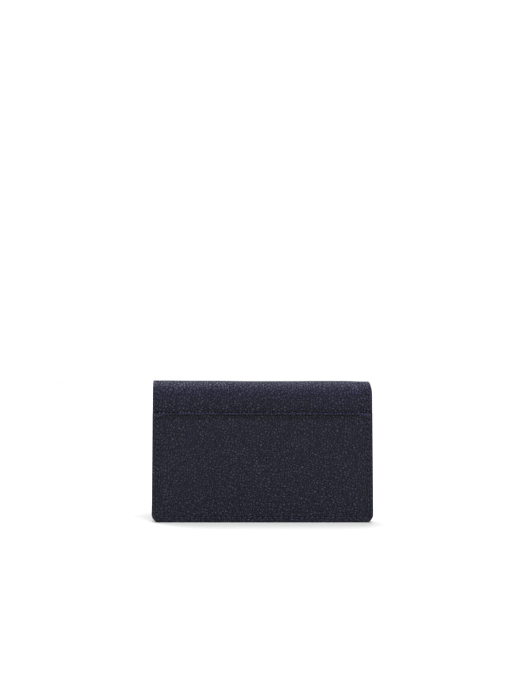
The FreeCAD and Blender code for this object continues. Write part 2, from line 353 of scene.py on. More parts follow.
def rounding_drop(depth, radius):
    """How far a rounded edge has fallen away at a distance in from it."""
    inside = np.clip(radius - depth, 0, radius)
    return radius - np.sqrt(radius ** 2 - inside ** 2)


def thinned(values, first, last):
    """The values between first and last in order, with both ends kept and near repeats dropped."""
    kept = [first]
    for value in np.sort(values):
        if kept[-1] + CLOSEST_LINES < value < last - CLOSEST_LINES:
            kept.append(value)
    return np.array(kept + [last])


PAINTED_SHARE = 1.1
HOLE_STEPS = np.array([-0.2, 0, 0.2]) * MM
SEAM_STEPS = np.array([-0.8, -0.5, -0.32, -0.16, 0, 0.16, 0.32, 0.5, 0.8]) * MM
GRID_STEP = 0.62 * MM
HOLE_CLEARANCE = 0.35 * MM


def grid_lines(first, last, holes=()):
    """Even places from first to last, with a hole's width marked out at each hole."""
    even = np.linspace(first, last, max(2, round((last - first) / GRID_STEP) + 1))
    if not len(holes):
        return even
    from_hole = np.min(np.abs(np.asarray(holes)[None, :] - even[:, None]), axis=1)
    marked = [hole + HOLE_STEPS for hole in holes]
    return np.concatenate([even[from_hole > HOLE_CLEARANCE]] + marked)


class Sheet:
    """One sheet of leather laid on a skin: a closed mesh with rounded, painted edges.

    layer_top is how far its outer face lies under the skin's face. first and last cut a stretch out of the
    outline, for a sheet that goes on over a bend as another piece.
    """

    def __init__(self, skin, outline, thickness, layer_top=0.0, first=0.0, last=None,
                 outer_edge=0.06 * MM, inner_edge=0.06 * MM, seam_inset=None, holes=(), extra_rows=(),
                 painted_end=True):
        self.skin = skin
        self.outline = outline
        self.thickness = thickness
        self.layer_top = layer_top
        self.outer_edge = outer_edge
        self.inner_edge = inner_edge
        self.painted_end = painted_end
        self.last = outline.length if last is None else last
        edge = max(outer_edge, inner_edge)
        columns = [edge_steps(edge)]
        if seam_inset:
            columns += [np.array([edge + 0.35 * MM, edge + 0.75 * MM]), seam_inset + SEAM_STEPS]
        from_edge = thinned(np.concatenate(columns), 0.0, np.max(np.concatenate(columns)) + 0.3 * MM)
        holes = np.asarray(holes, dtype=float).reshape(-1, 2)
        hole_rows = outline.along_at(holes[:, 1])
        inner_half = outline.half(outline.s_at(first)) - from_edge[-1]
        at_end = holes[np.abs(holes[:, 0]) < inner_half - 0.5 * MM]
        rows = [grid_lines(first, self.last, hole_rows), np.asarray(extra_rows, dtype=float)]
        if first == 0.0:
            rows.append(from_edge)
        if outline.end_free:
            rows.append(outline.length - edge_steps(edge))
        self.along = thinned(np.concatenate(rows), first, self.last)
        middle = thinned(grid_lines(-inner_half, inner_half, at_end[:, 0]), -inner_half, inner_half)
        fractions = middle[1:-1] / inner_half
        half = outline.row_half(self.along)[:, None]
        self.x = np.concatenate([
            -(half - from_edge[None, :]),
            (half - from_edge[-1]) * fractions[None, :],
            half - from_edge[None, ::-1],
        ], axis=1)
        self.along_grid = np.repeat(self.along[:, None], self.x.shape[1], axis=1)
        self.s = outline.s_at(self.along_grid)
        self.side_depth = outline.depth(self.x, self.along_grid)
        self.depth = self.side_depth
        if outline.end_free:
            self.depth = np.minimum(self.side_depth, np.maximum(outline.length - self.along_grid, 0))

    def painted(self, edge):
        depth = self.depth if self.painted_end else self.side_depth
        middle = (depth[:-1, :-1] + depth[1:, 1:]) / 2
        return (middle < edge * PAINTED_SHARE).ravel()

    def build(self, name, materials, outer_relief=None, inner_relief=None):
        """The mesh. A relief takes (x, s, depth) and gives (lift, tone) of that face.

        Tone runs from -1 in creases, channels and holes, painted shade, to about 1 over the fold, a painted
        highlight; a mouth's lip and the strip beside a seam are made paler too.
        """
        outer = -self.layer_top - rounding_drop(self.depth, self.outer_edge)
        inner = -self.layer_top - self.thickness + rounding_drop(self.depth, self.inner_edge)
        outer_tone = inner_tone = np.zeros_like(self.x)
        if outer_relief:
            lift, outer_tone = outer_relief(self.x, self.s, self.depth)
            outer = outer + lift
        if inner_relief:
            lift, inner_tone = inner_relief(self.x, self.s, self.depth)
            inner = inner - lift
        count = self.x.size
        outside = np.arange(count).reshape(self.x.shape)
        inside = outside + count
        points = np.concatenate([
            self.skin.place(self.x, self.s, outer).reshape(-1, 3),
            self.skin.place(self.x, self.s, inner).reshape(-1, 3),
        ])

        def rim(a, b):
            return np.stack([a[:-1], a[1:], b[1:], b[:-1]], axis=-1)

        rims = [
            rim(outside[:, 0], inside[:, 0]),
            rim(outside[:, -1], inside[:, -1]),
            rim(outside[0], inside[0]),
        ]
        far_rim = rim(outside[-1], inside[-1])
        faces = np.concatenate([grid_faces(outside), grid_faces(inside)] + rims + [far_rim])
        paint = np.concatenate([
            self.painted(self.outer_edge),
            self.painted(self.inner_edge),
            np.ones(sum(len(r) for r in rims), dtype=bool),
            np.full(len(far_rim), self.outline.end_free and self.painted_end),
        ])
        under = np.full_like(self.x, self.thickness)
        skin = np.concatenate([
            np.stack([self.x, self.s, 0 * self.x], axis=-1).reshape(-1, 3),
            np.stack([self.x, self.s, under], axis=-1).reshape(-1, 3),
        ])
        tone = np.concatenate([outer_tone.ravel(), inner_tone.ravel()])
        return new_object(name, points, faces, materials, paint.astype(int),
                          [("skin", "FLOAT_VECTOR", skin), ("tone", "FLOAT", tone)])


STITCH_RINGS = 13
STITCH_SIDES = 10
THREAD_HALF_WIDTH = 0.23 * MM
THREAD_HALF_HEIGHT = 0.17 * MM
STITCH_SLANT = math.radians(7)
STITCH_REACH = 0.43 * STITCH_PITCH
STITCH_SINK = 0.03 * MM
STITCH_DIVE = 0.34 * MM
TWIST_DEPTH = 0.09
TWIST_PITCH = 0.95 * MM
PLIES = 3


def stitch_shape():
    """One stitch as (along, across, height) points.

    It is a twisted thread that rises from one hole and dives into the next.
    """
    t = np.linspace(-1, 1, STITCH_RINGS)[:, None]
    side = np.linspace(0, 2 * math.pi, STITCH_SIDES, endpoint=False)[None, :]
    along = t * STITCH_REACH + 0 * side
    taper = np.sqrt(np.clip(1 - np.abs(t) ** 6, 0.05, 1))
    middle = -STITCH_SINK - STITCH_DIVE * np.abs(t) ** 5
    twist = 1 + TWIST_DEPTH * np.cos(PLIES * (side - 2 * math.pi * along / TWIST_PITCH))
    across = THREAD_HALF_WIDTH * taper * twist * np.cos(side) + math.tan(STITCH_SLANT) * along
    height = middle + THREAD_HALF_HEIGHT * taper * twist * np.sin(side)
    return np.stack([along, across, height], axis=-1)


def stitches(name, runs):
    """Every stitch of some runs as one object. A run is (skin, path of (x, s) points, lift, side).

    lift is where the leather's face lies off the skin, and side is 1 on an outer face and -1 on an inner one.
    """
    shape = stitch_shape()
    flat = shape.reshape(-1, 3)
    numbers = np.arange(len(flat)).reshape(shape.shape[:2])
    one = capped_loft(numbers)
    points, faces = [], []
    for skin, path, lift, side in runs:
        middles, directions, _ = stitch_places(path)
        for middle, direction in zip(middles, directions):
            across = np.array([-direction[1], direction[0]])
            spot = middle + flat[:, :1] * direction + flat[:, 1:2] * across
            first = len(points) * len(flat)
            points.append(skin.place(spot[:, 0], spot[:, 1], lift + side * flat[:, 2]))
            faces += [[number + first for number in face] for face in one]
    return new_object(name, np.concatenate(points), faces, [THREAD])


TURNED_SIDES = 96


def turned(name, profile, centre, facing, material, ring=False):
    """A round piece turned about an axis along Y, from (radius, height) points.

    A ring's profile closes on itself.
    """
    angle = np.linspace(0, 2 * math.pi, TURNED_SIDES, endpoint=False)
    radius, height = np.array(profile).T[:, :, None]
    x = centre[0] + radius * np.cos(angle)
    y = centre[1] + facing * height + 0 * angle
    z = centre[2] + radius * np.sin(angle)
    points = np.stack([x, y, z], axis=-1)
    numbers = np.arange(x.size).reshape(x.shape)
    faces = loft(numbers, closed_loft=ring)
    return new_object(name, points, faces, [material])


def arc(centre_radius, centre_height, radius, first, last, count=6):
    """Profile points round a fillet; angles in degrees from the radial direction towards the height."""
    angles = np.radians(np.linspace(first, last, count))
    return [(centre_radius + radius * math.cos(a), centre_height + radius * math.sin(a)) for a in angles]


def dress(piece, slot, body, *nodes):
    """Gives a piece its body, and hides the CAD nodes that it stands for. The slot argument is not used."""
    if body:
        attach(piece, body)
    if nodes:
        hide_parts(*nodes)
    return piece


def bend_over(piece):
    """Bakes the placement of a piece of the fold's numbered zone into its mesh."""

    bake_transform(piece)


# ---------------------------------------------------------------- materials

class Nodes:
    """A short way to write the node tree of a material or a world."""

    def __init__(self, owner, shader="Principled BSDF"):
        owner.use_nodes = True
        self.owner = owner
        self.tree = owner.node_tree
        self.shader = self.tree.nodes[shader]

    def add(self, kind, inputs=None, **settings):
        node = self.tree.nodes.new(kind)
        for key, value in settings.items():
            setattr(node, key, value)
        for key, value in (inputs or {}).items():
            self.put(node.inputs[key], value)
        return node

    def put(self, socket, value):
        if isinstance(value, bpy.types.NodeSocket):
            self.tree.links.new(value, socket)
        else:
            socket.default_value = value

    def skin(self):
        return self.add("ShaderNodeAttribute", attribute_name="skin").outputs["Vector"]

    def place(self):
        return self.add("ShaderNodeTexCoord").outputs["Object"]

    def noise(self, vector, scale, detail=3.0, roughness=0.55):
        node = self.add("ShaderNodeTexNoise", {"Vector": vector, "Scale": scale, "Detail": detail,
                                               "Roughness": roughness})
        return node.outputs["Fac"]

    def noise_colour(self, vector, scale):
        node = self.add("ShaderNodeTexNoise", {"Vector": vector, "Scale": scale, "Detail": 2.0})
        return node.outputs["Color"]

    def cells(self, vector, scale, randomness=1.0):
        """Distance from the edges of a pattern of cells."""
        node = self.add("ShaderNodeTexVoronoi", feature="DISTANCE_TO_EDGE")
        for key, value in (("Vector", vector), ("Scale", scale), ("Randomness", randomness)):
            self.put(node.inputs[key], value)
        return node.outputs["Distance"]

    def maths(self, operation, a, b):
        node = self.add("ShaderNodeMath", operation=operation)
        self.put(node.inputs[0], a)
        self.put(node.inputs[1], b)
        return node.outputs["Value"]

    def vector_maths(self, operation, a, b):
        node = self.add("ShaderNodeVectorMath", operation=operation)
        self.put(node.inputs[0], a)
        self.put(node.inputs[1], b)
        return node.outputs["Vector"]

    def remap(self, value, from_low, from_high, to_low=0.0, to_high=1.0, soft=True):
        node = self.add("ShaderNodeMapRange", interpolation_type="SMOOTHSTEP" if soft else "LINEAR")
        for key, number in (("From Min", from_low), ("From Max", from_high), ("To Min", to_low),
                            ("To Max", to_high)):
            self.put(node.inputs[key], number)
        self.put(node.inputs["Value"], value)
        return node.outputs["Result"]

    def blend_colours(self, factor, a, b):
        node = self.add("ShaderNodeMix", data_type="RGBA")
        colour_inputs = [i for i in node.inputs if i.type == "RGBA"]
        self.put(node.inputs["Factor"], factor)
        self.put(colour_inputs[0], a)
        self.put(colour_inputs[1], b)
        return [o for o in node.outputs if o.type == "RGBA"][0]

    def tone(self):
        return self.add("ShaderNodeAttribute", attribute_name="tone").outputs["Fac"]

    # The positive part of the tone: the painted highlight over the fold and on a mouth's lip, and the paler
    # strip beside a seam
    def pale_share(self):
        return self.maths("MAXIMUM", self.tone(), 0.0)

    def toned(self, colour, shade_colour):
        """The colour darkened in creases, channels and holes as painted shade, and made paler where the tone
        is positive: a painted highlight over the fold and on a mouth's lip, and a paler strip beside a seam.
        """
        paler = self.add("ShaderNodeVectorMath", operation="SCALE")
        self.put(paler.inputs[0], colour)
        self.put(paler.inputs["Scale"], self.maths("ADD", 1.0, self.pale_share()))
        depth = self.maths("MAXIMUM", self.maths("MULTIPLY", self.tone(), -1.0), 0.0)
        return self.blend_colours(depth, paler.outputs["Vector"], shade_colour)

    def bump(self, height, distance, strength=1.0):
        node = self.add("ShaderNodeBump", {"Height": height, "Distance": distance, "Strength": strength})
        return node.outputs["Normal"]

    def finish(self, **inputs):
        for key, value in inputs.items():
            self.put(self.shader.inputs[key.replace("_", " ")], value)
        return self.owner


def new_material(name):
    return Nodes(bpy.data.materials.new(name))


def rgb(r, g, b):
    return (r, g, b, 1.0)


def darker(colour, share):
    return rgb(*[channel * share for channel in colour])


# Shine of dyed leather and of edge paint, both rubbed down nearly matte
LEATHER_SHINE = 0.21
PAINT_SHINE = 0.1


def leather(name, colour, tint, shade_colour, pebble_size, depth, roughness):
    """Pebbled leather: rounded pebbles of uneven size, with fine creases between them darkened as painted
    shade, softly uneven in colour.
    """
    n = new_material(name)
    skin = n.vector_maths("MULTIPLY", n.skin(), (1.12, 1.0, 1.0))
    warp = n.vector_maths("SUBTRACT", n.noise_colour(skin, 0.5 / pebble_size), (0.5, 0.5, 0.5))
    warp = n.vector_maths("MULTIPLY", warp, (pebble_size * 1.1,) * 3)
    warped = n.vector_maths("ADD", skin, warp)
    rise = n.remap(n.cells(warped, 1 / pebble_size, randomness=0.9), 0.0, 0.42, soft=False)
    dome = n.maths("MULTIPLY", rise, n.maths("SUBTRACT", 2.0, rise))
    small = n.remap(n.cells(warped, 2.3 / pebble_size), 0.0, 0.3)
    pores = n.noise(skin, 5.5 / pebble_size, detail=3.0)
    height = n.maths("ADD", dome, n.maths("MULTIPLY", small, 0.1))
    height = n.maths("ADD", height, n.maths("MULTIPLY", pores, 0.1))
    broad = n.noise(skin, 26.0, detail=4.0)
    base = n.blend_colours(n.remap(broad, 0.32, 0.68), rgb(*colour), rgb(*tint))
    # Painted shade: the creases between the pebbles are darkened towards the shade colour, since the bump
    # casts no shade
    crease = n.remap(dome, 0.08, 0.7, 1.0, 0.0)
    crease_shaded = n.blend_colours(crease, base, rgb(*shade_colour))
    toned = n.toned(crease_shaded, darker(shade_colour, 0.4))
    rough = n.remap(height, 0.1, 1.0, roughness + 0.14, roughness - 0.05)
    rough = n.maths("ADD", rough, n.maths("MULTIPLY", n.maths("SUBTRACT", broad, 0.5), 0.16))
    rough = n.maths("ADD", rough, n.maths("MULTIPLY", n.pale_share(), 0.14))
    return n.finish(Base_Color=toned, Roughness=rough, Normal=n.bump(height, depth),
                    Specular_IOR_Level=LEATHER_SHINE)


def smooth_leather(name, colour, tint, roughness):
    """Lining leather: fine short grain, nearly smooth."""
    n = new_material(name)
    skin = n.skin()
    fine = n.noise(skin, 2600.0, detail=4.0, roughness=0.65)
    hair = n.remap(n.cells(skin, 2400.0), 0.0, 0.3)
    broad = n.remap(n.noise(skin, 34.0, detail=4.0), 0.3, 0.7)
    height = n.maths("ADD", n.maths("MULTIPLY", fine, 0.6), n.maths("MULTIPLY", hair, 0.4))
    base = n.blend_colours(broad, rgb(*colour), rgb(*tint))
    # Painted shade in seam channels, holes and crease grooves, and a painted highlight on a mouth's lip, from
    # the tone
    base = n.toned(base, darker(colour, 0.3))
    rough = n.remap(height, 0.2, 0.8, roughness + 0.08, roughness - 0.08)
    return n.finish(Base_Color=base, Roughness=rough, Normal=n.bump(height, 0.05 * MM, 0.8),
                    Specular_IOR_Level=LEATHER_SHINE)


def edge_paint():
    """Near-black lacquer on the cut edges, brushed on in layers."""
    n = new_material("edge_paint")
    place = n.place()
    ripple = n.noise(place, 900.0, detail=3.0)
    height = n.maths("ADD", ripple, n.maths("MULTIPLY", n.noise(place, 5200.0, detail=2.0), 0.25))
    shade = n.remap(ripple, 0.3, 0.7)
    colour = n.blend_colours(shade, rgb(0.0035, 0.0035, 0.0055), rgb(0.0070, 0.0070, 0.0100))
    rough = n.remap(ripple, 0.3, 0.7, 0.34, 0.5)
    return n.finish(Base_Color=colour, Roughness=rough, Normal=n.bump(height, 0.04 * MM, 0.7),
                    Specular_IOR_Level=PAINT_SHINE)


def thread_material():
    """Waxed thread: fine fibres and a soft shine."""
    n = new_material("waxed_thread")
    place = n.place()
    fibre = n.noise(place, 9000.0, detail=3.0)
    shade = n.remap(n.noise(place, 420.0), 0.3, 0.7)
    colour = n.blend_colours(shade, rgb(0.0210, 0.0225, 0.0400), rgb(0.0300, 0.0310, 0.0520))
    return n.finish(
        Base_Color=colour, Roughness=n.remap(fibre, 0.3, 0.7, 0.45, 0.62),
        Normal=n.bump(fibre, 0.03 * MM, 0.8), Specular_IOR_Level=PAINT_SHINE,
    )


def metal(name, colour, roughness, scratch):
    """Plated metal with faint polishing marks."""
    n = new_material(name)
    place = n.place()
    haze = n.noise(place, 260.0, detail=5.0)
    lines = n.noise(n.vector_maths("MULTIPLY", place, (1.0, 1.0, 14.0)), 1500.0, detail=2.0)
    rough = n.remap(haze, 0.3, 0.7, roughness - 0.05, roughness + 0.08)
    tone = n.blend_colours(n.remap(haze, 0.3, 0.7), rgb(*colour), darker(colour, 0.88))
    return n.finish(Base_Color=tone, Metallic=1.0, Roughness=rough, Normal=n.bump(lines, scratch, 0.5))


def board():
    """Pressed fibre board."""
    n = new_material("fibre_board")
    place = n.place()
    flecks = n.noise(place, 2200.0, detail=5.0)
    colour = n.blend_colours(n.remap(flecks, 0.35, 0.65), rgb(0.14, 0.1, 0.07), rgb(0.27, 0.21, 0.15))
    return n.finish(Base_Color=colour, Roughness=0.85, Normal=n.bump(flecks, 0.05 * MM))


OUTER = leather(
    "navy_pebbled_leather", colour=(0.0103, 0.0111, 0.0270), tint=(0.0121, 0.0116, 0.0262),
    shade_colour=(0.0020, 0.0020, 0.0062), pebble_size=1.4 * MM, depth=0.5 * MM, roughness=0.52,
)
GUSSET_LEATHER = leather(
    "navy_gusset_leather", colour=(0.0110, 0.0114, 0.0220), tint=(0.0122, 0.0116, 0.0215),
    shade_colour=(0.0035, 0.0035, 0.0080), pebble_size=1.1 * MM, depth=0.16 * MM, roughness=0.6,
)
LINER = smooth_leather(
    "navy_lining_leather", colour=(0.0122, 0.0127, 0.0245), tint=(0.0138, 0.0134, 0.0250), roughness=0.62,
)
EDGE = edge_paint()
THREAD = thread_material()
NICKEL = metal("satin_nickel", (0.40, 0.395, 0.385), 0.24, 0.004 * MM)
WIRE = metal("spring_wire", (0.5, 0.5, 0.51), 0.32, 0.006 * MM)
BOARD = board()


# ---------------------------------------------------------------- relief of the leather faces

def near_points(x, s, points, width):
    """1 at each of some points on the skin, falling off over a width."""
    total = np.zeros(x.shape)
    for px, ps in points:
        close = (np.abs(x - px) < 3 * width) & (np.abs(s - ps) < 3 * width)
        distance2 = (x[close] - px) ** 2 + (s[close] - ps) ** 2
        total[close] = np.maximum(total[close], np.exp(-distance2 / (2 * width ** 2)))
    return total


# Strength of the painted highlight over the fold
FOLD_HIGHLIGHT = 1.05
SEAM_SINK = 0.16 * MM
SEAM_SPREAD = 0.5 * MM
HOLE_SINK = 0.22 * MM
HOLE_WIDTH = 0.2 * MM


def sewn_relief(holes, wave=0.05 * MM, crease=None, inset=SEAM_INSET, sink=1.0):
    """A relief of gentle waves, the seam's pressed channel and holes, and a crease line if there is one."""

    def relief(x, s, depth):
        lift = wave * waviness(x, s) * smooth((depth - 1.2 * MM) / (5 * MM))
        channel = np.exp(-((depth - inset) / SEAM_SPREAD) ** 2)
        prick = near_points(x, s, holes, HOLE_WIDTH)
        shoulder = np.exp(-((depth - inset + 1.15 * MM) / (0.5 * MM)) ** 2)
        lift = lift - sink * (SEAM_SINK * channel + HOLE_SINK * prick - 0.05 * MM * shoulder)
        # Painted shade: the seam's channel and holes are darkened in colour; the raised strip beside the seam
        # is made paler
        tone = -0.75 * channel - 0.9 * prick + 0.35 * shoulder
        if crease:
            crease_lift, crease_tone = crease(x, s)
            lift = lift + crease_lift
            tone = tone + crease_tone
        return lift, np.clip(tone, -1, 1)

    return relief


def fold_highlight(s):
    """A painted highlight: how much paler the outer leather is made where it goes over the fold."""
    turn = np.clip((s - FOLD_Z) / FOLD_LENGTH, -1, 2)
    return FOLD_HIGHLIGHT * smooth((turn + 0.3) / 0.62) * smooth((1.3 - turn) / 0.62)


def upright_relief(half, holes, sink=1.0, wave=0.05 * MM, pale=0.0):
    """The same on a sheet whose only seams run up its sides. pale is the share of the painted highlight over
    the fold.
    """
    sewn = sewn_relief(holes, wave=wave, sink=sink)

    def relief(x, s, depth):
        lift, tone = sewn(x, s, np.maximum(half(s) - np.abs(x), 0))
        return lift, tone + pale * fold_highlight(s)

    return relief


MOUTH_CREASE = 1.25 * MM
CREASE_ROWS = np.array([-0.5, -0.34, -0.2, -0.1, 0, 0.1, 0.2, 0.34, 0.5, 0.75, 1.0]) * MM


def creased_below(top, depth, width, fade_from, fade_over):
    """The line creased along a panel's mouth, which dies away towards the side seams."""

    def crease(x, s):
        from_line = s - (top - MOUTH_CREASE)
        fade = smooth((TOP_HALF - fade_from - np.abs(x)) / fade_over)
        groove = np.exp(-(from_line / width) ** 2) * fade
        lip = np.exp(-((from_line - 0.85 * MM) / (0.4 * MM)) ** 2)
        # The groove is darkened as painted shade, and the lip above it made paler as a painted highlight
        return -depth * groove + 0.3 * depth * lip * fade, 1.0 * lip - 1.5 * groove

    return crease


# ---------------------------------------------------------------- leather pieces

CUT_EDGE = 0.42 * MM
LINING_TOP = LEATHER + GLUE
LINING_FACE = -(LINING_TOP + LINING)


def make_slip_pocket():
    skin = FlatSkin(low("slip_pocket_panel").y, -1, pocket_bow)
    outline = Outline(0.0, POCKET_TOP, half_width, end_free=True)
    path = outline.seam(SEAM_INSET, POCKET_TOP - 0.3 * MM)
    holes = holes_of([path])
    sheet = Sheet(
        skin, outline, LEATHER - POCKET_GAP, outer_edge=CUT_EDGE, seam_inset=SEAM_INSET, holes=holes,
        extra_rows=POCKET_TOP - MOUTH_CREASE + CREASE_ROWS, painted_end=False,
    )
    crease = creased_below(POCKET_TOP, 0.3 * MM, 0.42 * MM, 4.0 * MM, 4.0 * MM)
    dress(sheet.build("slip_pocket", [OUTER, EDGE], sewn_relief(holes, crease=crease)),
          "outer_leather", "root", "slip_pocket_panel")
    dress(stitches("slip_pocket_stitches", [(skin, path, 0.0, 1)]), "thread", "root", "back_seam_thread")


def make_back():
    """The back and its lining, up to where the fold starts."""
    outline = Outline(0.0, FOLD_Z, half_width)
    seams = side_seams(half_width, POCKET_TOP + 0.4 * MM, FOLD_Z)
    holes = holes_of(seams)
    sheet = Sheet(WRAP, outline, LEATHER, seam_inset=SEAM_INSET, holes=holes)
    dress(sheet.build("back", [OUTER, EDGE], upright_relief(half_width, holes, wave=0.02 * MM, pale=1.0)),
          "outer_leather", "root", "back_panel")
    lining = Sheet(WRAP, outline, LINING, LINING_TOP, seam_inset=SEAM_INSET)
    above_gusset = side_seams(half_width, GUSSET_TOP + 1 * MM, FOLD_Z)
    lining_relief = upright_relief(half_width, holes_of(above_gusset), 0.5)
    dress(lining.build("back_lining", [LINER, EDGE], None, lining_relief),
          "lining_leather", "root", "back_lining")
    runs = [(WRAP, seam, 0.0, 1) for seam in seams]
    runs += [(WRAP, seam, LINING_FACE, -1) for seam in above_gusset]
    dress(stitches("back_stitches", runs), "thread", "root", "back_seam_thread")


def make_fold_zone(zone):
    """One stretch of the rolled-over leather, its lining and its stitches."""
    first = FOLD_Z + zone * ZONE_LENGTH
    last = first + ZONE_LENGTH
    outline = Outline(0.0, FLAP_END, wrap_half)
    seams = side_seams(wrap_half, first, last)
    holes = holes_of(seams)
    number = zone + 1
    strips = [strip for strip in (zone, zone + 1) if 1 <= strip < ZONES]
    ends = {0: ("back_panel", "back_lining", "back_seam_thread"),
            ZONES - 1: ("flap_panel", "flap_lining", "flap_seam_thread")}.get(zone, (None, None, None))

    def stands_for(kind, end):
        return [f"fold_{kind}_{strip}" for strip in strips] + ([end] if end else [])

    leather = Sheet(WRAP, outline, LEATHER, first=first, last=last, seam_inset=SEAM_INSET, holes=holes)
    piece = leather.build(f"fold_skin_{number}", [OUTER, EDGE], upright_relief(wrap_half, holes, pale=1.0))
    dress(piece, "outer_leather", None, *stands_for("leather", ends[0]))
    bend_over(piece)

    lining = Sheet(WRAP, outline, LINING, LINING_TOP, first=first, last=last,
                   seam_inset=SEAM_INSET, holes=holes)
    piece = lining.build(f"fold_lining_{number}", [LINER, EDGE], None, upright_relief(wrap_half, holes, 0.5))
    dress(piece, "lining_leather", None, *stands_for("lining", ends[1]))
    bend_over(piece)

    runs = [(WRAP, seam, 0.0, 1) for seam in seams] + [(WRAP, seam, LINING_FACE, -1) for seam in seams]
    piece = stitches(f"fold_stitches_{number}", runs)
    dress(piece, "thread", None, *stands_for("seam_thread", ends[2]))
    bend_over(piece)


def make_flap():
    """The flap's leather and lining below the fold, with its seam on both faces."""
    outline = Outline(FLAP_END, FLAP_START, wrap_half)
    path = outline.seam(SEAM_INSET, outline.length)
    holes = holes_of([path])
    sheet = Sheet(WRAP, outline, LEATHER, outer_edge=CUT_EDGE, seam_inset=SEAM_INSET, holes=holes)
    sewn = sewn_relief(holes)

    # The flap's face also takes the painted highlight over the fold
    def relief(x, s, depth):
        lift, tone = sewn(x, s, depth)
        return lift, tone + fold_highlight(s)

    dress(sheet.build("flap", [OUTER, EDGE], relief), "outer_leather", "flap", "flap_panel")
    lining = Sheet(WRAP, outline, LINING, LINING_TOP, inner_edge=0.25 * MM,
                   seam_inset=SEAM_INSET, holes=holes)
    dress(lining.build("flap_lining", [LINER, EDGE], None, sewn_relief(holes, sink=0.5)),
          "lining_leather", "flap", "flap_lining")
    runs = [(WRAP, path, 0.0, 1), (WRAP, path, LINING_FACE, -1)]
    dress(stitches("flap_stitches", runs), "thread", "flap", "flap_seam_thread")


def make_front():
    """The front panel, its lining and its seam."""
    skin = FlatSkin(high("front_panel").y, 1)
    outline = Outline(0.0, FRONT_TOP, half_width, end_free=True)
    path = outline.seam(SEAM_INSET, FRONT_TOP - 0.3 * MM)
    holes = holes_of([path])
    crease = creased_below(FRONT_TOP, 0.12 * MM, 0.24 * MM, 4.5 * MM, 2 * MM)
    sheet = Sheet(
        skin, outline, LEATHER, outer_edge=CUT_EDGE, seam_inset=SEAM_INSET, holes=holes,
        extra_rows=FRONT_TOP - MOUTH_CREASE + CREASE_ROWS,
    )
    dress(sheet.build("front", [OUTER, EDGE], sewn_relief(holes, crease=crease)),
          "outer_leather", "root", "front_panel")
    lining = Sheet(skin, outline, LINING, LINING_TOP, inner_edge=0.2 * MM)
    dress(lining.build("front_lining", [LINER, EDGE]), "lining_leather", "root", "front_lining")
    dress(stitches("front_stitches", [(skin, path, 0.0, 1)]), "thread", "root", "front_seam_thread")


def make_card_slot():
    """The inner slot on the back lining, sewn close to its edge."""
    box_low, box_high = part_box("card_slot_panel")
    skin = FlatSkin(box_high.y, 1)
    inset = SEAM_INSET / 2

    def half(s):
        return box_high.x + 0 * s

    outline = Outline(box_low.z, SLOT_TOP, half, corner=1.5 * MM, end_free=True)
    path = outline.seam(inset, outline.length - 0.3 * MM)
    holes = holes_of([path])
    crease = creased_below(SLOT_TOP, 0.08 * MM, 0.22 * MM, 12 * MM, 2 * MM)
    sheet = Sheet(
        skin, outline, box_high.y - box_low.y, outer_edge=0.25 * MM, seam_inset=inset, holes=holes,
        extra_rows=outline.length - MOUTH_CREASE + CREASE_ROWS,
    )
    dress(sheet.build("card_slot", [LINER, EDGE], sewn_relief(holes, 0.03 * MM, crease, inset, 0.6)),
          "lining_leather", "root", "card_slot_panel")
    dress(stitches("card_slot_stitches", [(skin, path, 0.0, 1)]), "thread", "root", "card_slot_thread")


GUSSET_INSET = 0.7 * MM
GUSSET_THICK = 0.7 * MM
GUSSET_FLANGE = GUSSET_INSET + 5.6 * MM
GUSSET_ROWS = 420
GUSSET_PULL = 1.5 * MM


def column(depth, y, pull):
    """Rows of the gusset's section, as (depth, y, pull)."""
    return np.stack(np.broadcast_arrays(depth, y, pull), axis=1)


def gusset_section(rear, front):
    """The strip's section. pull is how far its folded middle is drawn in up the sides."""
    across = np.linspace(0, 1, 15)[1:-1]
    web_y = rear + (front - rear) * across
    pull = GUSSET_PULL * np.sin(across * math.pi) ** 1.5
    ends = np.array([GUSSET_FLANGE, (GUSSET_FLANGE + GUSSET_INSET) / 2, GUSSET_INSET + 0.5 * MM])
    inner_y = np.clip(web_y[::-1], rear + GUSSET_THICK, front - GUSSET_THICK)
    return np.concatenate([
        column(ends, rear, 0),
        column(GUSSET_INSET, web_y, pull),
        column(ends[::-1], front, 0),
        column(ends, front - GUSSET_THICK, 0),
        column(GUSSET_INSET + GUSSET_THICK, inner_y, pull[::-1]),
        column(ends[::-1], rear + GUSSET_THICK, 0),
    ])


